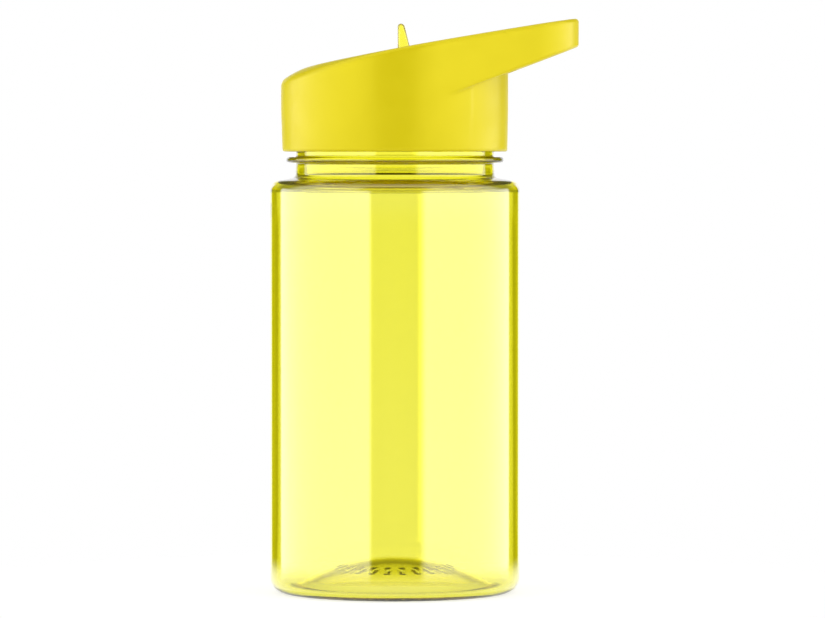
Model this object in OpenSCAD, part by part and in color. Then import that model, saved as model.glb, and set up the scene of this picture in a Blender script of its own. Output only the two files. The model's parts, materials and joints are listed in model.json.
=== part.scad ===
// Kids water bottle: clear screw-neck bottle, slanted lid with a finger loop, and a flip spout.
// +Z is up, +X points from the bottle's axis to the finger loop. The origin is on the axis, on the resting plane.

/* [Bottle] */
// Radius of the bottle's body
body_r = 35; // [34:0.5:36]
// Wall of the body
body_wall = 1.8; // [1.4:0.2:2.4]
// Height of the shoulder above the resting plane
shoulder_z = 115.5; // [110:0.5:125]
// Radius of the neck under the thread
neck_r = 27.6; // [27.4:0.1:27.6]
// Wall of the neck
neck_wall = 2.3; // [2:0.1:2.4]
// Height of the neck, from the shoulder to its lip
neck_h = 19; // [18.5:0.5:20]
// Height of the hollow under the base
punt_h = 8; // [6:0.5:9]

/* [Thread] */
// Number of thread starts
thread_starts = 2; // [1:1:2]
// Axial distance between neighbouring ridges
thread_pitch = 4; // [3.8:0.1:4.2]
// How far a ridge stands out
thread_depth = 1.2; // [0.9:0.1:1.2]
// Length of each ridge in turns
thread_turns = 0.85; // [0.5:0.05:0.9]

/* [Lid] */
// Outer radius of the lid
lid_r = 31.8; // [31.6:0.1:32]
// Slope of the lid's top in degrees
lid_slope = 10; // [8:1:12]
// Wall of the lid's top
lid_wall = 1.8; // [1.4:0.1:2]
// How far the finger loop reaches from the axis
loop_reach = 51.3; // [50:0.1:53]

/* [Spout] */
// Radius of the spout's barrel
barrel_r = 6; // [5.8:0.1:6]
// Width of the barrel
barrel_w = 15; // [13:0.5:15]
// Length of the mouthpiece from the hinge to its tip
mouth_l = 25.5; // [22:0.5:25.5]
// Radius of the bore that the water flows through
bore_r = 2.2; // [1.8:0.1:2.3]

/* [Hidden] */
$fn = 96;
reach = 200;                            // longer than anything here, for cutting
eps = 0.01;

// Bottle
neck_in_r = neck_r - neck_wall;
body_in_r = body_r - body_wall;
lip_z = shoulder_z + neck_h;
foot_in_r = 26.5;                       // the flat ring that the bottle stands on
foot_r = 30.5;
heel_r = body_r - foot_r;
floor_t = 2;
punt_r = 25.2;
ring_z = shoulder_z + 5.5;              // the support ring under the lid
ring_r = 30.3;
ring_t = 1.6;

// Lid, from the neck outwards
gasket_t = 1.5;
disc_t = 1.6;
disc_z = lip_z + gasket_t;              // underside of the insert's disc
disc_top = disc_z + disc_t;
lid_z = ring_z + 2.3;                   // lower edge of the lid
insert_z = lid_z + 0.7;
insert_in_r = neck_r + thread_depth + 0.3;
insert_r = insert_in_r + 1.02;
shell_in_r = insert_r + 0.08;
neck_thread_z = ring_z + 3;
cap_thread_z = insert_z + 1.1;
thread_gap = 1.6;                       // from a ridge of the neck down to the lid's ridge under it
skirt_r = lid_r - 0.4;                  // the skirt tapers in to this at its lower edge
top_z = shoulder_z + 36.1;              // height of the slanted top above the axis
under_slope = 20.6;                     // slope of the loop's underside
under_z = shoulder_z + 17.8;            // height of that underside's plane above the axis
rim_r = 16.3;                           // radius that the top's low rim rolls over with
rim_x = 8;
rim_start = 30.6;

// Finger loop
tip_r = 19;
tip_x = loop_reach - tip_r;
side_x = 9.5;
side_y = 29.6;
finger_r = 5.7;
finger_x = tip_x + 9.4;
finger_y = 6.5;

// Spout and its slot
pivot = [3, 0, shoulder_z + 29.5];
slot_w = barrel_w + 1.6;
slot_wall = 1.6;
slot_x0 = -17.3;
slot_x1 = 29.6;
trunnion_r = 2;
trunnion_l = 2.6;
bearing_gap = 0.06;
ear_r = 4.6;
ear_t = 2;
seal_r = 6.2;
seal_gap = 0.12;
seat_bore_r = bore_r + 0.1;
seal_top = disc_top + 3.2;
boss_r = 7.8;
boss_top = disc_top + 2.6;
fin_x = 0.8;
fin_top = shoulder_z + 43.4;
fin_w = 8;

// Vent
vent_x = -12;
stem_r = 1;
vent_hole_r = 0.5;
vent_holes = 3;
vent_ring_r = 2.4;

// Points of an arc round c, from angle a0 to a1
function arc(c, r, a0, a1, n = 8) = [for (i = [0 : n]) let (a = a0 + (a1 - a0) * i / n) c + r * [cos(a), sin(a)]];
// Outline of a slot from x0 to x1, hw wide each side of the X axis, with corner radii left and right
function slot_outline(x0, x1, hw, left, right) = concat(
    arc([x1 - right, -hw + right], right, -90, 0, 6),
    arc([x1 - right, hw - right], right, 0, 90, 6),
    arc([x0 + left, hw - left], left, 90, 180, 10),
    arc([x0 + left, -hw + left], left, 180, 270, 10));
// Radius of a sphere with a cap of this base radius and height
function cap_r(a, h) = (a * a + h * h) / (2 * h);

// Everything under a plane that rises along +X
module under_plane(z, slope) {
    translate([0, 0, z])
        rotate([0, -slope, 0])
            translate([-reach / 2, -reach / 2, -reach])
                cube([reach, reach, reach]);
}

// One tapered ridge of a screw thread, swept up a helix. dir 1 stands out from r, -1 stands in from r.
module thread_ridge(r, dir, z, start, turns) {
    steps = round(48 * turns);
    lead = thread_pitch * thread_starts;
    root = -0.15 * dir;
    // height of the ridge along its length, low at both ends
    function rise(i) = thread_depth * min(1, 0.25 + min(i, steps - i) / 4);
    ring_points = [for (i = [0 : steps]) let (a = start + 360 * turns * i / steps, h = z + lead * turns * i / steps)
        for (p = [[root, -0.95], [rise(i) * dir, -0.5], [rise(i) * dir, 0.5], [root, 0.95]])
            [(r + p[0]) * cos(a), (r + p[0]) * sin(a), h + p[1]]];
    sides = [for (i = [0 : steps - 1]) for (k = [0 : 3]) let (j = (k + 1) % 4)
        for (tri = [[4 * i + k, 4 * i + j, 4 * i + 4 + j], [4 * i + k, 4 * i + 4 + j, 4 * i + 4 + k]]) tri];
    first = [[0, 2, 1], [0, 3, 2]];
    last = [for (t = first) [for (k = [2, 1, 0]) t[k] + 4 * steps]];
    faces = concat(sides, first, last);
    polyhedron(ring_points, dir > 0 ? faces : [for (f = faces) [f[2], f[1], f[0]]]);
}

module thread(r, dir, z, start = 0) {
    for (k = [0 : thread_starts - 1])
        thread_ridge(r, dir, z, start + 360 * k / thread_starts, thread_turns);
}

module bottle_outline() {
    dome_r = cap_r(punt_r, punt_h - 1);
    dome_z = punt_h - dome_r;
    edge_a = asin(punt_r / dome_r);
    // where the floor's dome meets the trough over the standing ring
    trough_r = sqrt(pow(dome_r + floor_t, 2) - pow(body_wall - dome_z, 2));
    inner_a = asin(trough_r / (dome_r + floor_t));
    shoulder_in = shoulder_z - body_wall - 0.3;
    polygon(concat(
        arc([0, dome_z], dome_r, 90, 90 - edge_a, 10),
        [[foot_in_r, 0], [foot_r, 0]],
        arc([foot_r, heel_r], heel_r, -90, 0),
        arc([body_r - 3, shoulder_z - 3.2], 3, 0, 80),
        [[neck_r + 1.2, shoulder_z + 0.3], [neck_r + 0.3, shoulder_z + 0.7], [neck_r, shoulder_z + 1.5]],
        [[neck_r, ring_z - ring_t / 2]],
        arc([ring_r - ring_t / 2, ring_z], ring_t / 2, -90, 90),
        [[neck_r, ring_z + ring_t / 2], [neck_r, lip_z - 0.5], [neck_r - 0.5, lip_z]],
        [[neck_in_r + 0.4, lip_z], [neck_in_r, lip_z - 0.4]],
        arc([neck_in_r + 2, shoulder_in + 2], 2, 180, 270),
        arc([body_in_r - 1.5, shoulder_in - 1.5], 1.5, 90, 0),
        arc([foot_r, heel_r], heel_r - body_wall, 0, -90),
        arc([0, dome_z], dome_r + floor_t, 90 - inner_a, 90, 10)));
}

module bottle_body() {
    color([0.97, 0.91, 0.25, 0.5])
        union() {
            rotate_extrude() bottle_outline();
            thread(neck_r, 1, neck_thread_z);
        }
}

module neck_gasket() {
    color("white")
        translate([0, 0, lip_z])
            difference() {
                cylinder(h = gasket_t, r = insert_in_r - 0.3);
                translate([0, 0, -1]) cylinder(h = gasket_t + 2, r = neck_in_r - 0.4);
            }
}

// Ears that carry the spout's trunnions
module ear(side, grow = 0) {
    r = ear_r + grow;
    y = side * (slot_w + ear_t) / 2;
    translate([pivot.x, y, pivot.z]) rotate([90, 0, 0]) cylinder(h = ear_t + 2 * grow, r = r, center = true);
    translate([pivot.x - r + eps, y - ear_t / 2 - grow, disc_top - 0.5])
        cube([2 * r - 2 * eps, ear_t + 2 * grow, pivot.z - disc_top + 0.5]);
}

module lid_insert() {
    plug_r = neck_in_r - 0.6;
    color("gold")
        union() {
            difference() {
                union() {
                    translate([0, 0, insert_z]) cylinder(h = disc_top - insert_z, r = insert_r);
                    translate([pivot.x, 0, disc_top - 0.5]) cylinder(h = boss_top - disc_top + 0.5, r = boss_r);
                    for (side = [-1, 1]) ear(side);
                }
                difference() {
                    translate([0, 0, insert_z - 1]) cylinder(h = disc_z - insert_z + 1, r = insert_in_r);
                    difference() {
                        translate([0, 0, disc_z - 3.5]) cylinder(h = 4, r = plug_r);
                        translate([0, 0, disc_z - 4]) cylinder(h = 5, r = plug_r - 1.5);
                    }
                }
                // seat for the seal, and the bore under it
                translate([pivot.x, 0, disc_top]) cylinder(h = 10, r = seal_r + 0.1);
                translate([pivot.x, 0, disc_z - 1]) cylinder(h = 10, r = seat_bore_r);
                translate(pivot) rotate([90, 0, 0]) cylinder(h = slot_w, r = barrel_r + 0.3, center = true);
                // bearings
                translate(pivot) rotate([90, 0, 0])
                    cylinder(h = slot_w + 3 * ear_t, r = trunnion_r + bearing_gap, center = true);
                // air vent
                translate([vent_x, 0, disc_z - 1]) cylinder(h = disc_t + 2, r = stem_r + 0.05);
                for (k = [0 : vent_holes - 1])
                    translate([vent_x, 0, disc_z - 1]) rotate(60 + 360 * k / vent_holes)
                        translate([vent_ring_r, 0, 0]) cylinder(h = disc_t + 2, r = vent_hole_r);
            }
            // the same helix as the neck's, set down by thread_gap, and begun higher up it
            thread(insert_in_r, -1, cap_thread_z,
                360 * (cap_thread_z + thread_gap - neck_thread_z) / (thread_pitch * thread_starts));
        }
}

// The slanted top's low rim, which rolls over to the side wall
module rim_roll(drop) {
    steps = 6;
    cut_a = 42;
    translate([0, 0, top_z]) rotate([0, -lid_slope, 0]) translate([rim_x, 0, -drop])
        rotate([0, 0, 90])
            rotate_extrude(angle = 180)
                polygon(concat(
                    [[rim_start, 5], [rim_start, 0]],
                    [for (i = [1 : steps]) let (a = cut_a * i / steps)
                        [rim_start + rim_r * sin(a), rim_r * (cos(a) - 1)]],
                    [[rim_start + rim_r * sin(cut_a), 5]]));
}

// Outline of the finger loop's side wall, set in by t
module loop_outline(t = 0) {
    a = acos((side_y - tip_r * sin(66)) / norm([side_x - tip_x - tip_r * cos(66), side_y - tip_r * sin(66)]));
    polygon(concat(
        [[side_x, -side_y + t]],
        arc([tip_x, 0], tip_r - t, -66, 66, 22),
        [[side_x, side_y - t]]));
}

module finger_hole(grow = 0) {
    r = finger_r + grow;
    linear_extrude(reach)
        polygon(concat(
            arc([finger_x, finger_y], r, 0, 180, 16),
            arc([finger_x, -finger_y], r, 180, 360, 16)));
}

// The lid's outer form, with its top set down by drop and its walls set in by t
module lid_form(t, drop, r0, r1) {
    difference() {
        intersection() {
            union() {
                translate([0, 0, lid_z - (drop > 0 ? 1 : 0)]) cylinder(h = 12, r1 = r0, r2 = r1);
                translate([0, 0, lid_z + 10]) cylinder(h = 40, r = r1);
            }
            under_plane(top_z - drop / cos(lid_slope), lid_slope);
        }
        rim_roll(drop);
    }
}

module loop_form(t, drop) {
    difference() {
        intersection() {
            linear_extrude(reach) loop_outline(t);
            under_plane(top_z - drop / cos(lid_slope), lid_slope);
        }
        under_plane(under_z - (drop > 0 ? 2 : 0), under_slope);
    }
}

// Plan of the slot, grown by t
module slot_plan(t = 0) {
    polygon(slot_outline(slot_x0 - t, slot_x1 + t, slot_w / 2 + t, slot_w / 2 + t - eps, 3 + t));
}

// Block under the mouthpiece, whose top slopes up towards the tip, set down by t
module mouth_floor(t = 0) {
    difference() {
        translate([pivot.x + boss_r + 0.3 + t, -slot_w, disc_top - 2]) cube([slot_x1, 2 * slot_w, 20]);
        translate([pivot.x, -slot_w, pivot.z - 6 - t]) rotate([0, -lid_slope - 5, 0])
            cube([reach, 2 * slot_w, reach]);
    }
}

// Block under the flip tab, set down by t
module tab_floor(t = 0) {
    translate([slot_x0 - 3, -slot_w, disc_top - 2])
        cube([pivot.x - boss_r - 0.3 - slot_x0 + 3 - t, 2 * slot_w, 4.9 - t]);
}

module slot_space() {
    difference() {
        translate([0, 0, disc_top - 1]) linear_extrude(reach) slot_plan();
        mouth_floor();
        tab_floor();
    }
}

// Hollow under the slot's floors
module floor_space() {
    intersection() {
        translate([0, 0, disc_top - 1]) linear_extrude(20) slot_plan();
        union() {
            mouth_floor(slot_wall);
            tab_floor(slot_wall);
        }
    }
}

module lid_shell() {
    color("yellow")
        difference() {
            union() {
                difference() {
                    union() {
                        lid_form(0, 0, skirt_r, lid_r);
                        loop_form(0, 0);
                    }
                    // hollow over the insert
                    lid_form(0, lid_wall, shell_in_r, shell_in_r);
                    // hollow of the loop, open below
                    difference() {
                        loop_form(lid_wall, lid_wall);
                        translate([0, 0, lid_z]) cylinder(h = 60, r = lid_r - 0.1);
                        finger_hole(lid_wall + 0.4);
                    }
                    // the hollow meets the finger hole's wall from below
                    under_cut();
                }
                slot_walls();
            }
            finger_hole();
            slot_space();
            floor_space();
            for (side = [-1, 1]) ear(side, 0.2);
            // air hole over the vent
            translate([vent_x + 1, 0, disc_top - 1]) cylinder(h = 8, r = 1.2);
        }
}

// Nothing of the loop stays under its underside
module under_cut() {
    difference() {
        translate([lid_r - 0.1, -reach / 2, lid_z]) cube([reach, reach, 40]);
        translate([0, 0, reach]) under_plane(under_z, under_slope);
    }
}

// Walls and floor of the slot, inside the lid
module slot_walls() {
    intersection() {
        translate([0, 0, disc_top + 0.1]) linear_extrude(reach) slot_plan(slot_wall);
        cylinder(h = reach, r = lid_r - 0.6);
        under_plane(top_z - 0.5, lid_slope);
    }
}

module spout() {
    fin = [
        [fin_x, pivot.z], [fin_x, fin_top - 0.9], [fin_x + 0.3, fin_top - 0.2], [fin_x + 0.8, fin_top],
        [fin_x + 1.4, fin_top - 0.2], [fin_x + 1.8, fin_top - 0.9], [fin_x + 3.8, fin_top - 9], [fin_x + 3.8, pivot.z]];
    color([0.98, 0.93, 0.3])
        difference() {
            union() {
                translate(pivot) rotate([90, 0, 0]) cylinder(h = barrel_w, r = barrel_r, center = true);
                translate(pivot) rotate([90, 0, 0])
                    cylinder(h = slot_w + 2 * trunnion_l - 1.2, r = trunnion_r, center = true);
                translate(pivot) rotate([0, 90 - lid_slope, 0]) mouthpiece();
                translate([0, fin_w / 2, 0]) rotate([90, 0, 0]) linear_extrude(fin_w) polygon(fin);
            }
            translate(pivot) rotate([0, 90 - lid_slope, 0])
                translate([0, 0, -barrel_r - 1]) cylinder(h = mouth_l + barrel_r + 2, r = bore_r);
        }
}

// Tapered mouthpiece along +Z, thin in X
module mouthpiece() {
    hull() {
        for (y = [-3.2, 3.2]) translate([0, y, 1]) cylinder(h = 1, r = 4, $fn = 32);
        for (y = [-2.2, 2.2]) translate([0, y, mouth_l - 1]) cylinder(h = 1, r1 = 3.3, r2 = 3, $fn = 32);
    }
}

module spout_seal() {
    color("white")
        difference() {
            translate([pivot.x, 0, disc_top]) cylinder(h = seal_top - disc_top, r = seal_r);
            translate([pivot.x, 0, disc_top - 1]) cylinder(h = 10, r = seat_bore_r);
            translate(pivot) rotate([90, 0, 0]) cylinder(h = 20, r = barrel_r + seal_gap, center = true);
        }
}

module vent_valve() {
    color("white")
        translate([vent_x, 0, 0]) union() {
            translate([0, 0, disc_z - 0.7]) cylinder(h = 0.7, r = 4);
            translate([0, 0, disc_z - 0.2]) cylinder(h = disc_t + 0.6, r = stem_r);
            translate([0, 0, disc_top]) cylinder(h = 1.1, r1 = 1.5, r2 = 0.8);
        }
}

bottle_body();
neck_gasket();
lid_insert();
lid_shell();
spout();
spout_seal();
vent_valve();
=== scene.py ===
import json
import math

import bpy
import numpy as np
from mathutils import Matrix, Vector


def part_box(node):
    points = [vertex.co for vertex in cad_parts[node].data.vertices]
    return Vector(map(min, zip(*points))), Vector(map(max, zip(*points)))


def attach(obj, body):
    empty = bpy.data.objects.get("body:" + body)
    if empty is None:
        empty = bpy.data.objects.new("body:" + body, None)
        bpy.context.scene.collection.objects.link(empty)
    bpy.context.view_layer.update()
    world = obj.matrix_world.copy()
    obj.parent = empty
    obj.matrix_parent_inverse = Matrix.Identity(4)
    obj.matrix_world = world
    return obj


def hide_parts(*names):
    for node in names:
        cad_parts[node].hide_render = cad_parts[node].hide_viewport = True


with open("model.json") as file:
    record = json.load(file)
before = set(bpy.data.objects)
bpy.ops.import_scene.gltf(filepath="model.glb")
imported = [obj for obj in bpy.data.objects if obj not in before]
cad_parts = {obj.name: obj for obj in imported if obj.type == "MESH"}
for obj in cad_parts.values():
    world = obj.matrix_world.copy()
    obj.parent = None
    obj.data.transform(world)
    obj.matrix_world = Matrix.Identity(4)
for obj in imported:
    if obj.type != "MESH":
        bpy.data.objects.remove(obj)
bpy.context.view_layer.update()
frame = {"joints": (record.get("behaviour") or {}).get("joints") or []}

MM = 0.001


def mm_box(node):
    low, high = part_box(node)
    return np.array(low) / MM, np.array(high) / MM


# ---------------------------------------------------------------- sizes, in millimetres
# read from the CAD
body_hi = mm_box("bottle_body")[1]
shell_lo, shell_hi = mm_box("lid_shell")
gasket_lo, gasket_hi = mm_box("neck_gasket")
seal_lo, seal_hi = mm_box("spout_seal")
spout_lo, spout_hi = mm_box("spout")
vent_lo, vent_hi = mm_box("vent_valve")
JOINTS = {joint["name"]: joint for joint in frame["joints"]}
PIVOT = np.array(JOINTS["spout_flip"]["pos_m"]) / MM
BODY_R, LIP_Z = body_hi[0], body_hi[2]
LID_R, LID_Z, TIP_X = -shell_lo[0], shell_lo[2], shell_hi[0]
DISC_Z, DISC_TOP = gasket_hi[2], seal_lo[2]     # the inner cap's disc

# bottle
BODY_WALL, FLOOR_T = 1.8, 2.0
FOOT_R, HEEL_R = 30.5, 4.5                      # outer edge of the standing ring, and the round above it
PUNT_H, DOME_R, DOME_DROP = 8.0, 25.2, 7.0      # hollow under the base
NECK_H, NECK_R, NECK_IN_R = 19.0, 27.6, 25.3
SHOULDER_Z = LIP_Z - NECK_H
RING_Z, RING_R = SHOULDER_Z + 5.5, 30.3         # support ring under the lid
TICKS = 24                                      # raised ticks under the base

# screw thread, and the inner cap round it
RIDGE, LEAD, STARTS, TURNS = 1.2, 8.0, 2, 0.85
NECK_RIDGE_Z = RING_Z + 3.0
CAP_RIDGE_Z = LID_Z + 1.8
RIDGE_GAP = 1.6                                 # from a ridge of the neck down to the cap's ridge under it
CAP_IN_R = NECK_R + RIDGE + 0.3
CAP_R = CAP_IN_R + 1.02
CAP_Z = LID_Z + 0.7

# outer lid
SLOPE_X, SLOPE_XX, TOP_Z = 0.1858, -0.000233, SHOULDER_Z + 36.05
RIM_X, RIM_START, RIM_R = 8.0, 30.6, 16.3       # where and how roundly the top rolls over on the low side
UNDER_Z, UNDER_SLOPE = SHOULDER_Z + 17.8, math.tan(math.radians(20.6))
TIP_R = 19.0
TIP_CX = TIP_X - TIP_R
FINGER_X, FINGER_Y, FINGER_R = TIP_CX + 9.4, 6.5, 5.7
SHELL_WALL = 1.8
SLOT_X0, SLOT_X1, SLOT_HALF, SLOT_WALL = -17.3, 29.6, 8.3, 1.6
MOUTH_DROP, MOUTH_LEAN = 6, math.tan(math.radians(15))      # slot's sloping floor under the mouthpiece
TAB_FLOOR = 2.9                                 # slot's flat floor in front of the tab, above the disc

# spout, its hinge and seal, and the vent
BARREL_R, BARREL_HALF, BORE_R = 6.0, 7.5, 2.2
MOUTH_L, MOUTH_TILT = 25.5, math.radians(10)
PIN_R, PIN_HOLE_R = 2.0, 2.06
EAR_R, EAR_T, BOSS_R = 4.6, 2.0, 7.8
SEAT_R, SEAL_R, SEAL_HOLLOW_R, PASSAGE_R = 6.3, 6.2, 6.12, 2.3
FIN_X, FIN_TOP = 0.8, spout_hi[2] - PIVOT[2]
STEM_HOLE_R, VENT_HOLE_R, VENT_RING_R = 1.05, 0.5, 2.4
VENT_X = -12.0

# ---------------------------------------------------------------- camera
TARGET = Vector((0.0049, 0.0, 0.0793))
DISTANCE = 1.456
EYE_HEIGHT = 0.126
PICTURE_WIDTH = 0.23063                 # how much of the bottle's plane the picture shows, in metres

cam_data = bpy.data.cameras.new("camera")
cam_data.sensor_width = 36.0
camera = bpy.data.objects.new("camera", cam_data)
camera.location = (TARGET.x, -DISTANCE, EYE_HEIGHT)
sight = TARGET - camera.location
cam_data.lens = cam_data.sensor_width * sight.length / PICTURE_WIDTH
camera.rotation_euler = sight.to_track_quat("-Z", "Y").to_euler()
cam_data.clip_end = 40.0
bpy.context.scene.collection.objects.link(camera)
bpy.context.scene.camera = camera


# ---------------------------------------------------------------- mesh helpers
def add_piece(name, verts, faces, body, node, slot, material):
    """One closed mesh piece. verts are in millimetres, and faces is (n, 4), with -1 last for a triangle."""
    mesh = bpy.data.meshes.new(name)
    four = faces[:, 3] >= 0
    counts = np.where(four, 4, 3)
    loops = faces.reshape(-1)
    loops = loops[loops >= 0].astype(np.int32)
    mesh.vertices.add(len(verts))
    mesh.vertices.foreach_set("co", (np.asarray(verts, float) * MM).astype(np.float32).reshape(-1))
    mesh.loops.add(len(loops))
    mesh.loops.foreach_set("vertex_index", loops)
    mesh.polygons.add(len(faces))
    starts = np.concatenate([[0], np.cumsum(counts)[:-1]]).astype(np.int32)
    mesh.polygons.foreach_set("loop_start", starts)
    mesh.polygons.foreach_set("use_smooth", np.ones(len(faces), bool))
    mesh.update(calc_edges=True)
    mesh.validate()
    mesh.materials.append(material)
    obj = bpy.data.objects.new(name, mesh)
    bpy.context.scene.collection.objects.link(obj)
    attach(obj, body)
    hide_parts(node)


def skin(f, low, high, step, rounds=4):
    """Quad mesh of the surface where f is 0, with f negative inside: a surface net, moved onto it."""
    low = np.array(low, float)
    count = np.ceil((np.array(high, float) - low) / step).astype(int) + 1
    axes = [low[i] + step * np.arange(count[i]) for i in range(3)]
    x, y, z = np.meshgrid(*axes, indexing="ij", sparse=True)
    v = np.broadcast_to(f(x, y, z), tuple(count))
    inside = v < 0
    cells, points, quads = [], [], []
    unit = np.eye(3, dtype=int)
    mult = np.array([count[1] * count[2], count[2], 1])
    for d in range(3):
        a, b = unit[(d + 1) % 3], unit[(d + 2) % 3]
        near = [slice(None)] * 3
        far = [slice(None)] * 3
        near[d], far[d] = slice(0, -1), slice(1, None)
        cross = inside[tuple(near)] != inside[tuple(far)]
        at = np.argwhere(cross)
        v0 = v[tuple(at.T)]
        v1 = v[tuple((at + unit[d]).T)]
        p = at + (v0 / (v0 - v1))[:, None] * unit[d]
        four = np.stack([at @ mult, (at - a) @ mult, (at - a - b) @ mult, (at - b) @ mult], 1)
        quads.append(np.where((v0 < 0)[:, None], four, four[:, ::-1]))
        cells.append(four.reshape(-1))
        points.append(np.repeat(p, 4, axis=0))
    cells = np.concatenate(cells)
    points = np.concatenate(points)
    ids, where = np.unique(cells, return_inverse=True)
    hits = np.bincount(where)
    verts = np.stack([np.bincount(where, points[:, i]) / hits for i in range(3)], 1) * step + low
    faces = np.searchsorted(ids, np.concatenate(quads))
    e = 0.02
    for _ in range(rounds):
        px, py, pz = verts.T
        d = f(px, py, pz)
        g = np.stack([f(px + e, py, pz) - f(px - e, py, pz), f(px, py + e, pz) - f(px, py - e, pz),
                      f(px, py, pz + e) - f(px, py, pz - e)], 1) / (2 * e)
        move = g * (d / np.maximum((g * g).sum(1), 0.25))[:, None]
        size = np.linalg.norm(move, axis=1)
        move *= np.minimum(1, 0.4 * step / np.maximum(size, 1e-9))[:, None]
        verts = verts - move
    return verts, faces


def lathe(profile, segments, shift=None, centre=(0.0, 0.0), closed=False):
    """Turns a profile of (radius, height) points round the Z axis. shift(r, z, angle) says how far each
    point moves out and up. A closed profile is a ring; an open one starts and ends on the axis, and runs
    anticlockwise."""
    profile = np.asarray(profile, float)
    angle = 2 * math.pi * np.arange(segments) / segments
    body = profile if closed else profile[1:-1]
    r = np.repeat(body[:, 0:1], segments, 1)
    z = np.repeat(body[:, 1:2], segments, 1)
    if shift is not None:
        dr, dz = shift(r, z, angle[None, :])
        r, z = r + dr, z + dz
    verts = np.stack([centre[0] + r * np.cos(angle), centre[1] + r * np.sin(angle), z], 2).reshape(-1, 3)
    rows = len(body)
    i = np.arange(rows if closed else rows - 1)[:, None]
    j = np.arange(segments)[None, :]
    nj, ni = (j + 1) % segments, (i + 1) % rows
    faces = np.stack(np.broadcast_arrays(i * segments + j, i * segments + nj, ni * segments + nj,
                                         ni * segments + j), 2).reshape(-1, 4)
    if not closed:
        ends = np.array([[centre[0], centre[1], profile[0, 1]], [centre[0], centre[1], profile[-1, 1]]])
        n = len(verts)
        verts = np.concatenate([verts, ends])
        j, nj = np.arange(segments), (np.arange(segments) + 1) % segments
        last = (rows - 1) * segments
        none = np.full(segments, -1)
        faces = np.concatenate([faces, np.stack([nj, j, np.full(segments, n), none], 1),
                                np.stack([last + j, last + nj, np.full(segments, n + 1), none], 1)])
    return verts, faces


def arc(cx, cz, r, a0, a1, n):
    """Points of an arc in the (radius, height) plane, in degrees."""
    a = np.radians(np.linspace(a0, a1, n))
    return [(cx + r * math.cos(t), cz + r * math.sin(t)) for t in a]


def spaced(points, gap):
    """The same polyline with extra points, so that no step is longer than gap(r, z)."""
    out = [points[0]]
    for p, q in zip(points[:-1], points[1:]):
        length = math.dist(p, q)
        n = max(1, math.ceil(length / gap((p[0] + q[0]) / 2, (p[1] + q[1]) / 2)))
        out += [(p[0] + (q[0] - p[0]) * k / n, p[1] + (q[1] - p[1]) * k / n) for k in range(1, n + 1)]
    return out


def smooth_step(v):
    v = np.clip(v, 0, 1)
    return v * v * (3 - 2 * v)


def join(a, b, r=0.0):
    """The union of two distance fields, with a fillet of radius r between them."""
    if r <= 0:
        return np.minimum(a, b)
    return np.maximum(r, np.minimum(a, b)) - np.hypot(np.maximum(r - a, 0), np.maximum(r - b, 0))


def both(a, b, r=0.0):
    """The overlap of two distance fields, with the edge between them rounded to radius r."""
    if r <= 0:
        return np.maximum(a, b)
    return np.minimum(-r, np.maximum(a, b)) + np.hypot(np.maximum(r + a, 0), np.maximum(r + b, 0))


def cut(a, b, r=0.0):
    """Field a without field b."""
    return both(a, -b, r)


def ridge_height(radius, z, angle, z0, start):
    """How far the thread stands out at a place, for a helix that begins at height z0 and angle start."""
    best = np.zeros(np.broadcast(z, angle).shape)
    for k in range(STARTS):
        for lap in (0, 1):
            turn = ((angle - start) / (2 * math.pi) - k / STARTS) % 1.0 + lap
            off = np.abs(z - z0 - LEAD * turn)
            ends = np.clip(np.minimum(turn, TURNS - turn) * 14 + 0.15, 0, 1)
            best = np.maximum(best, smooth_step((0.95 - off) / 0.5) * smooth_step(ends) * (turn <= TURNS))
    return RIDGE * best


# ---------------------------------------------------------------- material helpers
class Nodes:
    """A node tree, with short calls for the nodes used here."""

    def __init__(self, tree):
        self.tree = tree
        tree.nodes.clear()

    def add(self, kind, **settings):
        node = self.tree.nodes.new(kind)
        for key, value in settings.items():
            setattr(node, key, value)
        return node

    def link(self, a, b):
        self.tree.links.new(a, b)

    def mix(self, amount, a, b):
        """Colour a where amount is 0, and b where it is 1. Each is a colour or a socket."""
        node = self.add("ShaderNodeMix", data_type="RGBA")
        self.link(amount, node.inputs[0])
        for socket, value in zip([s for s in node.inputs if s.type == "RGBA"], (a, b)):
            if isinstance(value, tuple):
                socket.default_value = (*value, 1.0)
            else:
                self.link(value, socket)
        return [s for s in node.outputs if s.type == "RGBA"][0]

    def length(self, vector):
        node = self.add("ShaderNodeVectorMath", operation="LENGTH")
        self.link(vector, node.inputs[0])
        return node.outputs["Value"]


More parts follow.
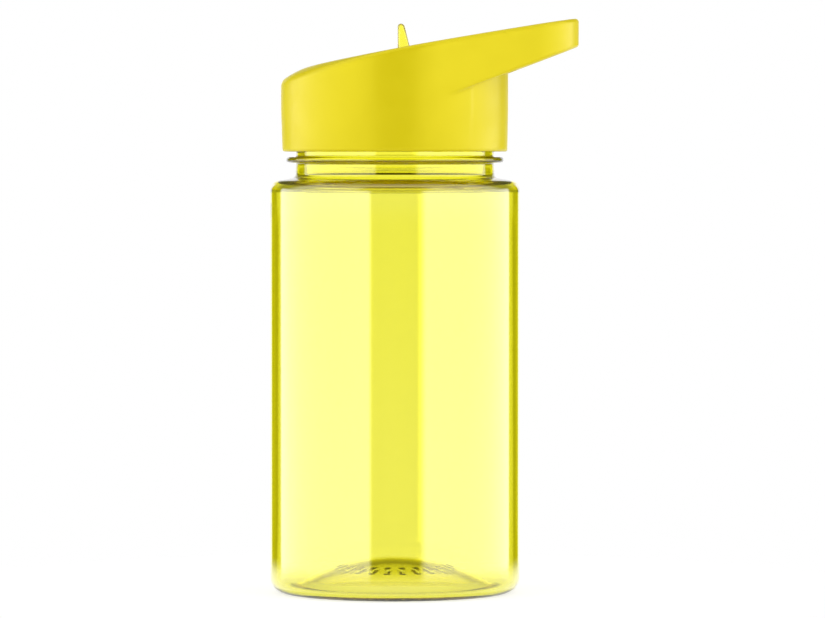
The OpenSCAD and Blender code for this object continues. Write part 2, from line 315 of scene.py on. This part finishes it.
class Surface(Nodes):
    """A material on the Principled shader. self.place is the place on the object, in metres."""

    def __init__(self, name):
        self.material = bpy.data.materials.new(name)
        self.material.use_nodes = True
        super().__init__(self.material.node_tree)
        self.out = self.add("ShaderNodeOutputMaterial")
        self.shader = self.add("ShaderNodeBsdfPrincipled")
        self.link(self.shader.outputs[0], self.out.inputs["Surface"])
        self.place = self.add("ShaderNodeTexCoord").outputs["Object"]

    def set(self, **values):
        for key, value in values.items():
            self.shader.inputs[key.replace("_", " ")].default_value = value

    def vary(self, name, value):
        self.link(value, self.shader.inputs[name])

    def noise(self, scale, detail=2.0, rough=0.5, stretch=None):
        source = self.place
        if stretch:
            mapping = self.add("ShaderNodeMapping")
            mapping.inputs["Scale"].default_value = stretch
            self.link(source, mapping.inputs["Vector"])
            source = mapping.outputs[0]
        node = self.add("ShaderNodeTexNoise")
        node.inputs["Scale"].default_value = scale
        node.inputs["Detail"].default_value = detail
        node.inputs["Roughness"].default_value = rough
        self.link(source, node.inputs["Vector"])
        return node.outputs["Fac"]

    def spread(self, value, low, high, to_low, to_high):
        """A smooth step from to_low to to_high as value goes from low to high."""
        node = self.add("ShaderNodeMapRange", interpolation_type="SMOOTHSTEP")
        for key, v in zip(("From Min", "From Max", "To Min", "To Max"), (low, high, to_low, to_high)):
            node.inputs[key].default_value = v
        self.link(value, node.inputs["Value"])
        return node.outputs[0]

    def bump(self, height, distance, strength=1.0, under=None):
        node = self.add("ShaderNodeBump")
        node.inputs["Distance"].default_value = distance
        node.inputs["Strength"].default_value = strength
        self.link(height, node.inputs["Height"])
        if under is not None:
            self.link(under, node.inputs["Normal"])
        return node.outputs[0]


def clear_plastic(name, tint, density, rough, polished_from=None):
    """Tinted clear plastic. Outside the radius polished_from, in metres, its surface is polished."""
    m = Surface(name)
    m.set(Transmission_Weight=1.0, IOR=1.55, Specular_IOR_Level=0.5, Coat_Roughness=0.03)
    # faint haze in patches, as on a bottle that has been handled
    haze = m.noise(55.0, 4.0, 0.6)
    m.vary("Roughness", m.spread(haze, 0.35, 0.75, rough * 0.5, rough * 1.8))
    m.vary("Base Color", m.mix(m.noise(18.0, 3.0), (0.995, 0.99, 0.93), (1.0, 0.995, 0.95)))
    # flow lines of the moulding, drawn out along the height
    waves = m.noise(60.0, 2.0, 0.5, stretch=(1.0, 1.0, 0.12))
    m.vary("Normal", m.bump(waves, 0.00003, 0.5))
    if polished_from is not None:
        apart = m.add("ShaderNodeSeparateXYZ")
        m.link(m.place, apart.inputs[0])
        flat = m.add("ShaderNodeCombineXYZ")
        m.link(apart.outputs[0], flat.inputs[0])
        m.link(apart.outputs[1], flat.inputs[1])
        radius = m.length(flat.outputs[0])
        m.vary("Coat Weight", m.spread(radius, polished_from, polished_from + 0.0002, 0.0, 1.0))
        m.set(Coat_IOR=1.6)
    volume = m.add("ShaderNodeVolumeAbsorption")
    volume.inputs["Color"].default_value = (*tint, 1.0)
    volume.inputs["Density"].default_value = density
    m.link(volume.outputs[0], m.out.inputs["Volume"])
    return m.material


def satin_plastic(name, deep, light, rough, grain, subsurface, shine=(1.0, 1.0, 1.0), level=0.45, ior=1.5):
    """Moulded plastic or silicone, cloudy between two colours, with a fine grain and a soft unevenness."""
    m = Surface(name)
    m.vary("Base Color", m.mix(m.spread(m.noise(24.0, 3.0, 0.55), 0.3, 0.7, 0.0, 1.0), deep, light))
    rubbed = m.noise(140.0, 4.0, 0.6)
    m.vary("Roughness", m.spread(rubbed, 0.3, 0.7, rough - 0.05, rough + 0.07))
    fine = m.bump(m.noise(900.0, 2.0, 0.5), grain, 0.35)
    m.vary("Normal", m.bump(m.noise(70.0, 2.0), 0.00012, 0.25, under=fine))
    m.set(IOR=ior, Specular_IOR_Level=level, Specular_Tint=(*shine, 1.0),
          Subsurface_Weight=subsurface, Subsurface_Scale=0.003, Subsurface_Radius=(1.0, 0.8, 0.15))
    return m.material


CLEAR_BODY = clear_plastic("clear_yellow_body", (0.985, 0.973, 0.02), 600.0, 0.02,
                           (BODY_R - BODY_WALL / 2) * MM)
CLEAR_SPOUT = clear_plastic("clear_yellow_spout", (0.992, 0.97, 0.05), 330.0, 0.10)
YELLOW_SHINE = (1.0, 0.86, 0.08)
LID = satin_plastic("satin_yellow_lid", (0.65, 0.54, 0.006), (0.69, 0.575, 0.008), 0.35, 0.00002, 0.1,
                    YELLOW_SHINE, 1.0, 1.65)
INNER = satin_plastic("satin_yellow_inner_cap", (0.72, 0.57, 0.006), (0.78, 0.62, 0.008), 0.42, 0.00002,
                      0.1, YELLOW_SHINE, 0.6)
SILICONE = satin_plastic("silicone", (0.80, 0.80, 0.76), (0.87, 0.87, 0.83), 0.52, 0.00003, 0.35)


# ---------------------------------------------------------------- bottle
def fillet(start, corner, end, n):
    """Points of a smooth curve from start to end that leans towards the corner between them."""
    t = np.linspace(0, 1, n)[:, None]
    points = (1 - t) ** 2 * np.array(start) + 2 * t * (1 - t) * np.array(corner) + t * t * np.array(end)
    return [tuple(p) for p in points]


def dome_point(centre_z, radius, r):
    """The point of a dome, a sphere about a centre on the axis, at the distance r from the axis."""
    return (r, centre_z + math.sqrt(radius * radius - r * r))


def bottle_profile():
    """The bottle's section, from the middle of its underside, up the outside and down the inside."""
    dome_r = (DOME_R ** 2 + DOME_DROP ** 2) / (2 * DOME_DROP)
    dome_z = PUNT_H - dome_r
    in_r = dome_r + FLOOR_T
    edge = dome_point(dome_z, dome_r, 23.6)
    in_edge = dome_point(dome_z, in_r, 25.6)
    trough_r = math.sqrt(in_r ** 2 - (BODY_WALL - dome_z) ** 2)
    z1 = SHOULDER_Z - 3.2
    in_top = SHOULDER_Z - BODY_WALL - 0.3
    r_in = BODY_R - BODY_WALL
    points = [(0.0, PUNT_H)]
    points += arc(0, dome_z, dome_r, 90 - 0.6, math.degrees(math.acos(edge[0] / dome_r)), 40)
    points += fillet(edge, (25.9, 0.0), (28.2, 0.0), 14)[1:]
    points += arc(FOOT_R, HEEL_R, HEEL_R, -90, 0, 22)
    points += arc(BODY_R - 3, z1, 3, 0, 82, 16)
    points += arc(28.9, SHOULDER_Z + 1.55, 1.15, -100, -180, 10)
    points += [(27.7, RING_Z - 2.4)]
    points += arc(NECK_R + 0.4, RING_Z - 1.2, 0.4, 180, 90, 5)
    points += arc(RING_R - 0.72, RING_Z, 0.78, -80, 80, 14)
    points += arc(NECK_R + 0.4, RING_Z + 1.2, 0.4, -90, -180, 5)
    points += arc(NECK_R - 0.5, LIP_Z - 0.5, 0.5, 0, 90, 7)
    points += arc(NECK_IN_R + 0.5, LIP_Z - 0.5, 0.5, 90, 180, 7)
    points += arc(NECK_IN_R + 2.0, in_top + 2.0, 2.0, 180, 270, 12)
    points += arc(r_in - 1.5, in_top - 1.5, 1.5, 90, 0, 10)
    points += arc(FOOT_R, HEEL_R, HEEL_R - BODY_WALL, 0, -86, 16)
    points += fillet((FOOT_R, BODY_WALL), (trough_r, BODY_WALL), in_edge, 12)
    points += arc(0, dome_z, in_r, math.degrees(math.acos(in_edge[0] / in_r)), 90 - 0.6, 40)[1:]
    points += [(0.0, dome_z + in_r)]

    def gap(r, z):
        """The longest step there: short on the thread and on the ticks."""
        if r > NECK_R - 0.2 and NECK_RIDGE_Z - 1.4 < z < LIP_Z - 0.4:
            return 0.3
        if 12.5 < r < 17.5 and z < 8:
            return 0.35
        return 4.0 if 8 < z < 108 else 1.2

    return spaced(points, gap)


def bottle_shift(r, z, angle):
    """Adds the thread, the unevenness of the inner wall and the ticks under the base."""
    dr = np.zeros(np.broadcast(r, angle).shape)
    dz = np.zeros_like(dr)
    # the screw thread
    outer_neck = (r > NECK_R - 0.05) & (z > NECK_RIDGE_Z - 1.3) & (z < LIP_Z - 0.2)
    dr += np.where(outer_neck, ridge_height(NECK_R, z, angle, NECK_RIDGE_Z, 0.0), 0)
    # slight unevenness of the moulded inner wall, which makes long soft streaks
    straight = np.abs(r - BODY_R + BODY_WALL) < 0.3
    inner_wall = smooth_step((z - 8) / 14) * smooth_step((110 - z) / 8) * straight
    wave = (np.sin(5 * angle + 0.7) + 0.6 * np.sin(11 * angle + z * 0.01) + 0.35 * np.sin(23 * angle + 1.9)
            + 0.5 * np.sin(2 * angle + z * 0.03))
    dr += 0.018 * inner_wall * wave
    # wall a little thicker towards the shoulder
    dr -= inner_wall * 0.25 * smooth_step((z - 20) / 88)
    # raised ticks in a ring on the hollow under the base
    under = (r < 20) & (z < 7.9) & (z > 0)
    tick = np.abs((angle * TICKS / (2 * math.pi)) % 1 - 0.5) * (2 * math.pi / TICKS) * r
    across = np.exp(-(tick / 0.42) ** 2)
    along = smooth_step((r - 13.2) / 0.5) * smooth_step((16.6 - r) / 0.5)
    return dr, dz - np.where(under, 0.3 * across * along, 0)


add_piece("bottle_clear_body", *lathe(bottle_profile(), 256, bottle_shift), "bottle", "bottle_body",
          "clear_body", CLEAR_BODY)

# ---------------------------------------------------------------- gasket
g_in, g_out = NECK_IN_R - 0.4, gasket_hi[0]
g_lo, g_hi = gasket_lo[2], gasket_hi[2]
ring = arc(g_in + 0.3, g_lo + 0.3, 0.3, 180, 270, 5) + arc(g_out - 0.3, g_lo + 0.3, 0.3, -90, 0, 5)
ring += arc(g_out - 0.3, g_hi - 0.3, 0.3, 0, 90, 5) + arc(g_in + 0.3, g_hi - 0.3, 0.3, 90, 180, 5)
add_piece("neck_gasket_ring", *lathe(ring, 192, closed=True), "gasket", "neck_gasket", "seal", SILICONE)


# ---------------------------------------------------------------- outer lid
def top_field(x, y, z):
    """Distance above the lid's slanted top, with its rim rolled over on the low side."""
    out = np.hypot(np.minimum(x - RIM_X, 0), y)
    over = np.maximum(out - RIM_START, 0) / RIM_R
    height = TOP_Z + SLOPE_X * x + SLOPE_XX * x * x - over * over * RIM_R / 2
    return (z - height) / np.sqrt(1 + (SLOPE_X + over * (x < RIM_X)) ** 2)


def plan_field(x, y):
    """Distance outside the lid's outline in plan: the hull of the round lid and the round tip."""
    y = np.abs(y)
    b = (LID_R - TIP_R) / TIP_CX
    a = math.sqrt(1 - b * b)
    k = a * x - b * y
    side = a * y + b * x - LID_R
    tip = np.hypot(x - TIP_CX, y) - TIP_R
    return np.where(k < 0, np.hypot(x, y) - LID_R, np.where(k > a * TIP_CX, tip, side))


def finger_field(x, y):
    return np.hypot(x - FINGER_X, np.maximum(np.abs(y) - FINGER_Y, 0)) - FINGER_R


def slot_field(x, y):
    centre, half = (SLOT_X0 + SLOT_X1) / 2, (SLOT_X1 - SLOT_X0) / 2
    corner = np.where(x < centre, SLOT_HALF, 3.0)
    qx, qy = np.abs(x - centre) - half + corner, np.abs(y) - SLOT_HALF + corner
    return np.minimum(np.maximum(qx, qy), 0) + np.hypot(np.maximum(qx, 0), np.maximum(qy, 0)) - corner


def ear_field(x, y, z, grow=0.0):
    """The inner cap's two ears, which hold the spout's pins, made thicker all round by grow."""
    across = np.abs(np.abs(y) - SLOT_HALF - EAR_T / 2) - EAR_T / 2 - grow
    disc = np.hypot(x - PIVOT[0], z - PIVOT[2]) - EAR_R - grow
    leg = both(np.abs(x - PIVOT[0]) - EAR_R - grow, z - PIVOT[2])
    return both(np.minimum(disc, leg), across, 0.3 if grow == 0 else 0)


def slot_floor(x, z, down, r=0.0):
    """The solids under the slot's two floors: the sloping one under the mouthpiece, and the flat one in
    front of the tab. down moves them down and away from the boss."""
    reach = BOSS_R + 0.3 + down
    slope = (z - (PIVOT[2] - MOUTH_DROP - down) - (x - PIVOT[0]) * MOUTH_LEAN) / math.hypot(1, MOUTH_LEAN)
    mouth = both(PIVOT[0] + reach - x, slope, r)
    tab = both(x - PIVOT[0] + reach, z - DISC_TOP - TAB_FLOOR + down, r)
    return mouth, tab


def shell_field(x, y, z):
    out = np.hypot(x, y)
    top = top_field(x, y, z)
    taper = 0.4 * np.clip((LID_Z + 12 - z) / 12, 0, 1)
    skirt = both(out - LID_R + taper, LID_Z - z, 0.45)
    under = (UNDER_Z + UNDER_SLOPE * x - z) / math.hypot(1, UNDER_SLOPE)
    plan = plan_field(x, y)
    tongue = both(both(plan, join(under, skirt, 0.5), 0.6), 6.0 - x)
    outer = both(np.minimum(skirt, tongue), top, 1.1)
    # hollow over the inner cap, round the slot's walls
    slot = slot_field(x, y)
    tray = both(slot - SLOT_WALL, DISC_TOP + 0.1 - z)
    hollow = both(out - CAP_R - 0.08, top + SHELL_WALL, 0.8)
    hollow = both(hollow, -tray, 0.5)
    # hollow of the loop, open below
    finger = finger_field(x, y)
    core = both(both(plan + SHELL_WALL, top + SHELL_WALL, 0.8), LID_R - 0.1 - out, 0.5)
    core = both(core, 2.2 - finger, 0.5)
    solid = cut(cut(outer, hollow), core, 0.5)
    # the slot over its floors, and the space under them
    mouth, tab = slot_floor(x, z, 0, 0.4)
    solid = cut(solid, both(both(slot, -mouth, 0.4), -tab, 0.4), 0.7)
    solid = cut(solid, both(slot, np.minimum(*slot_floor(x, z, SLOT_WALL))))
    solid = cut(solid, finger, 1.0)
    solid = cut(solid, ear_field(x, y, z, 0.2))
    # air hole through the flat floor, near the vent
    return cut(solid, both(np.hypot(x + 11, y) - 1.2, z - DISC_TOP - 7), 0.2)


verts, faces = skin(shell_field, (-33.05, -33.1, LID_Z - 1.13), (TIP_X + 1.3, 33.2, shell_hi[2] + 1.2),
                    0.54)
add_piece("lid_outer_shell", verts, faces, "lid", "lid_shell", "lid", LID)


# ---------------------------------------------------------------- inner cap
def insert_field(x, y, z):
    out = np.hypot(x, y)
    angle = np.arctan2(y, x)
    px = x - PIVOT[0]
    cup = both(both(out - CAP_R, z - DISC_TOP, 0.3), CAP_Z - z, 0.25)
    boss = both(np.hypot(px, y) - BOSS_R, both(z - DISC_TOP - 2.6, DISC_TOP - 1 - z), 0.3)
    solid = join(cup, boss, 0.3)
    solid = join(solid, ear_field(x, y, np.maximum(z, DISC_TOP - 0.5), 0.0), 0.5)
    solid = both(solid, CAP_Z - z)
    # inside: the thread's bore, with the plug ring left standing in it
    start = 2 * math.pi * (CAP_RIDGE_Z + RIDGE_GAP - NECK_RIDGE_Z) / LEAD
    wall = out - CAP_IN_R + ridge_height(CAP_IN_R, z, angle, CAP_RIDGE_Z, start)
    plug = both(np.abs(out - (NECK_IN_R - 0.6 - 0.75)) - 0.75, DISC_Z - 3.5 - z, 0.4)
    inside = both(both(wall, z - DISC_Z, 0.3), -plug, 0.3)
    solid = cut(solid, inside)
    # the seal's seat, the water passage, room for the barrel, and the pins' holes
    solid = cut(solid, both(np.hypot(px, y) - SEAT_R, DISC_TOP - z), 0.15)
    solid = cut(solid, np.hypot(px, y) - PASSAGE_R, 0.2)
    solid = cut(solid, both(np.hypot(px, z - PIVOT[2]) - SEAT_R, np.abs(y) - SLOT_HALF))
    solid = cut(solid, both(np.hypot(px, z - PIVOT[2]) - PIN_HOLE_R, np.abs(y) - 12), 0.15)
    # the vent's stem hole and air holes
    solid = cut(solid, np.hypot(x - VENT_X, y) - STEM_HOLE_R)
    for k in range(3):
        a = math.radians(60 + 120 * k)
        hole = np.hypot(x - VENT_X - VENT_RING_R * math.cos(a), y - VENT_RING_R * math.sin(a))
        solid = cut(solid, hole - VENT_HOLE_R)
    return solid


verts, faces = skin(insert_field, (-31.13, -31.17, LID_Z - 0.31), (31.2, 31.2, PIVOT[2] + EAR_R + 1),
                    0.45)
add_piece("lid_inner_cap", verts, faces, "lid", "lid_insert", "inner_cap", INNER)


# ---------------------------------------------------------------- flip spout
def spout_field(x, y, z):
    dx, dz = x - PIVOT[0], z - PIVOT[2]
    side = np.abs(y)
    c, s = math.cos(MOUTH_TILT), math.sin(MOUTH_TILT)
    along, over = dx * c + dz * s, -dx * s + dz * c
    barrel = both(np.hypot(dx, dz) - BARREL_R, side - BARREL_HALF, 0.5)
    pins = both(np.hypot(dx, dz) - PIN_R, side - spout_hi[1], 0.35)
    # mouthpiece, flat in section and thinner at the tip
    t = np.clip(along / MOUTH_L, 0, 1)
    half = 4.0 - 0.95 * t
    centre = 3.2 - 1.0 * t
    lip = 0.22 * np.exp(-((along - 23.6) / 1.1) ** 2)
    tube = (np.hypot(np.maximum(side - centre, 0), over) - half - lip) * 0.995
    tube = both(both(tube, along - MOUTH_L, 0.8), -along)
    # thumb tab, with a shallow hollow in its thumb side
    lean = 2.0 / 8.1
    thumb_side = (x - FIN_X - 1.95 - lean * (FIN_TOP - 0.9 - dz)) / math.hypot(1, lean)
    fin = both(both(both(FIN_X - x, thumb_side, 0.35), dz - FIN_TOP, 0.85), side - 4.0, 0.7)
    fin = both(fin, -dz)
    hollow = both(side - 2.8, both(7.4 - dz, dz - FIN_TOP + 1.4), 0.6)
    fin = cut(fin, both(-thumb_side - 0.45 + 0.03 * y * y, hollow, 0.3), 0.3)
    solid = join(join(join(barrel, tube, 1.2), fin, 0.8), pins, 0.2)
    return cut(solid, np.hypot(over, y) - BORE_R, 0.3)


verts, faces = skin(spout_field, (spout_lo[0] - 0.71, spout_lo[1] - 0.7, spout_lo[2] - 0.73),
                    (spout_hi[0] + 1, spout_hi[1] + 0.7, spout_hi[2] + 0.7), 0.27)
add_piece("flip_spout", verts, faces, "spout", "spout", "clear_spout", CLEAR_SPOUT)


# ---------------------------------------------------------------- seal under the barrel
def seal_field(x, y, z):
    px = x - PIVOT[0]
    solid = both(both(np.hypot(px, y) - SEAL_R, DISC_TOP - z, 0.2), z - seal_hi[2], 0.2)
    solid = cut(solid, np.hypot(px, z - PIVOT[2]) - SEAL_HOLLOW_R, 0.15)
    return cut(solid, np.hypot(px, y) - PASSAGE_R, 0.25)


verts, faces = skin(seal_field, (seal_lo[0] - 0.5, seal_lo[1] - 0.5, seal_lo[2] - 0.5),
                    (seal_hi[0] + 0.5, seal_hi[1] + 0.5, seal_hi[2] + 0.6), 0.2)
add_piece("spout_seal_pad", verts, faces, "lid", "spout_seal", "seal", SILICONE)

# ---------------------------------------------------------------- vent valve
v_x = (vent_lo[0] + vent_hi[0]) / 2
v_lo, v_hi = vent_lo[2], vent_hi[2]
valve = [(0, v_lo)] + arc(0, v_lo + 60, 60, -89.7, -86.6, 8)
valve += arc(3.72, v_lo + 0.38, 0.27, -70, 90, 8)
valve += [(2.4, DISC_Z - 0.04), (1.15, DISC_Z - 0.02), (1.0, DISC_Z + 0.15), (1.0, DISC_TOP - 0.05)]
valve += [(1.4, DISC_TOP + 0.03)] + arc(1.05, DISC_TOP + 0.4, 0.4, -30, 40, 5)
valve += arc(0, v_hi - 0.85, 0.85, 30, 88, 8) + [(0, v_hi)]
add_piece("vent_umbrella_valve", *lathe(valve, 64, centre=(v_x, 0.0)), "lid", "vent_valve", "seal", SILICONE)

# ---------------------------------------------------------------- floor
# A small pale disc that fades out towards its rim. It glows a little, so that it is white in the picture.
FLOOR_IN, FLOOR_R, FLOOR_RINGS, FLOOR_SIDES = 0.03, 0.15, 6, 96      # metres, and counts
FADE_FROM = 0.05
FLOOR_DROP = 0.00002                    # just under the standing ring, so that the two don't fight
pale = Surface("pale_floor")
pale.vary("Base Color", pale.mix(pale.noise(3.0, 2.0), (0.42, 0.42, 0.415), (0.44, 0.44, 0.435)))
pale.vary("Alpha", pale.spread(pale.length(pale.place), FADE_FROM, FLOOR_R, 1.0, 0.0))
pale.set(Roughness=0.7, Specular_IOR_Level=0.05, Emission_Color=(1, 1, 1, 1), Emission_Strength=0.74)
corners, sides = [(0, 0, -FLOOR_DROP)], range(FLOOR_SIDES)
for r in np.linspace(FLOOR_IN, FLOOR_R, FLOOR_RINGS):
    for k in sides:
        a = 2 * math.pi * k / FLOOR_SIDES
        corners.append((r * math.cos(a), r * math.sin(a), -FLOOR_DROP))
floor_faces = [(1 + k, 1 + (k + 1) % FLOOR_SIDES, 0) for k in sides]
for inner in range(1, 1 + (FLOOR_RINGS - 1) * FLOOR_SIDES, FLOOR_SIDES):
    outer = inner + FLOOR_SIDES
    for k in sides:
        after = (k + 1) % FLOOR_SIDES
        floor_faces.append((inner + k, outer + k, outer + after, inner + after))
floor_mesh = bpy.data.meshes.new("floor")
floor_mesh.from_pydata(corners, [], floor_faces)
floor_mesh.materials.append(pale.material)
floor = bpy.data.objects.new("floor", floor_mesh)
bpy.context.scene.collection.objects.link(floor)

# ---------------------------------------------------------------- studio
# Soft boxes on both sides, a white backdrop behind, and a dark gap at the camera's side. Between and over
# them are dark cards tinted yellow, which draw the clear plastic's edges. The camera itself sees plain
# white all round.
world = bpy.data.worlds.new("studio")
bpy.context.scene.world = world
world.use_nodes = True
studio = Nodes(world.node_tree)


def half_plus(value, factor):
    """0.5 + factor * value, which brings a range about 0 to between 0 and 1."""
    node = studio.add("ShaderNodeMath", operation="MULTIPLY_ADD")
    studio.link(value, node.inputs[0])
    node.inputs[1].default_value = factor
    node.inputs[2].default_value = 0.5
    return node.outputs[0]


def ramp(value, stops):
    """A colour for each value between 0 and 1, from (value, colour) pairs."""
    node = studio.add("ShaderNodeValToRGB")
    node.color_ramp.interpolation = "EASE"
    elements = node.color_ramp.elements
    while len(elements) < len(stops):
        elements.new(0.5)
    for element, (place, _) in zip(elements, stops):
        element.position = place
    for element, (_, colour) in zip(elements, stops):
        element.color = (*colour, 1)
    studio.link(value, node.inputs[0])
    return node.outputs[0]


def by_angle(*stops):
    """Stops of a ramp, from (degrees round from the camera's side, colour) pairs."""
    return [(0.5 + angle / 360, colour) for angle, colour in stops]


def background(colour, strength):
    node = studio.add("ShaderNodeBackground")
    if isinstance(colour, tuple):
        node.inputs["Color"].default_value = (*colour, 1)
    else:
        studio.link(colour, node.inputs["Color"])
    node.inputs["Strength"].default_value = strength
    return node.outputs[0]


WHITE, BLACK = (1, 1, 1), (0, 0, 0)
BOX, BACK, OVER = (1.15, 1.15, 1.15), (0.55, 0.55, 0.55), (0.5, 0.5, 0.5)
GAP, DIM, DARK = (0.14, 0.135, 0.03), (0.24, 0.23, 0.005), (0.20, 0.19, 0.0)
UPPER_BOX, UPPER_DIM = (0.75, 0.75, 0.75), (0.16, 0.155, 0.04)

split = studio.add("ShaderNodeSeparateXYZ")
studio.link(studio.add("ShaderNodeTexCoord").outputs["Generated"], split.inputs[0])
away = studio.add("ShaderNodeMath", operation="MULTIPLY")
studio.link(split.outputs[1], away.inputs[0])
away.inputs[1].default_value = -1.0
turn = studio.add("ShaderNodeMath", operation="ARCTAN2")
studio.link(split.outputs[0], turn.inputs[0])
studio.link(away.outputs[0], turn.inputs[1])
turn = half_plus(turn.outputs[0], 0.5 / math.pi)        # 0.5 at the camera's side
lift = half_plus(split.outputs[2], 0.5)                 # 0 straight down, 0.5 level, 1 straight up

cards = ramp(turn, by_angle(
    (-180, BACK), (-159, BACK), (-157, DARK), (-150, DARK), (-147, DIM), (-132, DIM),
    (-127, BOX), (-24.5, BOX), (-20.5, GAP), (22, GAP), (30, BOX), (127, BOX),
    (132, DIM), (147, DIM), (150, DARK), (157, DARK), (159, BACK), (180, BACK)))
upper_cards = ramp(turn, by_angle(
    (-180, UPPER_DIM), (-125, UPPER_DIM), (-100, UPPER_BOX), (-45, UPPER_BOX), (-25, UPPER_DIM),
    (25, UPPER_DIM), (45, UPPER_BOX), (100, UPPER_BOX), (125, UPPER_DIM), (180, UPPER_DIM)))
rise = ramp(lift, [(0.0, BLACK), (0.57, BLACK), (0.65, WHITE), (1.0, WHITE)])
ends = ramp(lift, [(0.0, WHITE), (0.42, WHITE), (0.455, BLACK), (0.84, BLACK), (0.92, WHITE), (1.0, WHITE)])
light = background(studio.mix(ends, studio.mix(rise, cards, upper_cards), OVER), 2.0)
seen = studio.add("ShaderNodeMixShader")
studio.link(studio.add("ShaderNodeLightPath").outputs["Is Camera Ray"], seen.inputs[0])
studio.link(light, seen.inputs[1])
studio.link(background(WHITE, 1.0), seen.inputs[2])
studio.link(seen.outputs[0], studio.add("ShaderNodeOutputWorld").inputs[0])

scene = bpy.context.scene
scene.view_settings.view_transform = "Standard"
scene.cycles.use_denoising = True
scene.cycles.max_bounces = 32                   # light goes round inside the clear walls many times
scene.cycles.transmission_bounces = 32
scene.cycles.glossy_bounces = 12
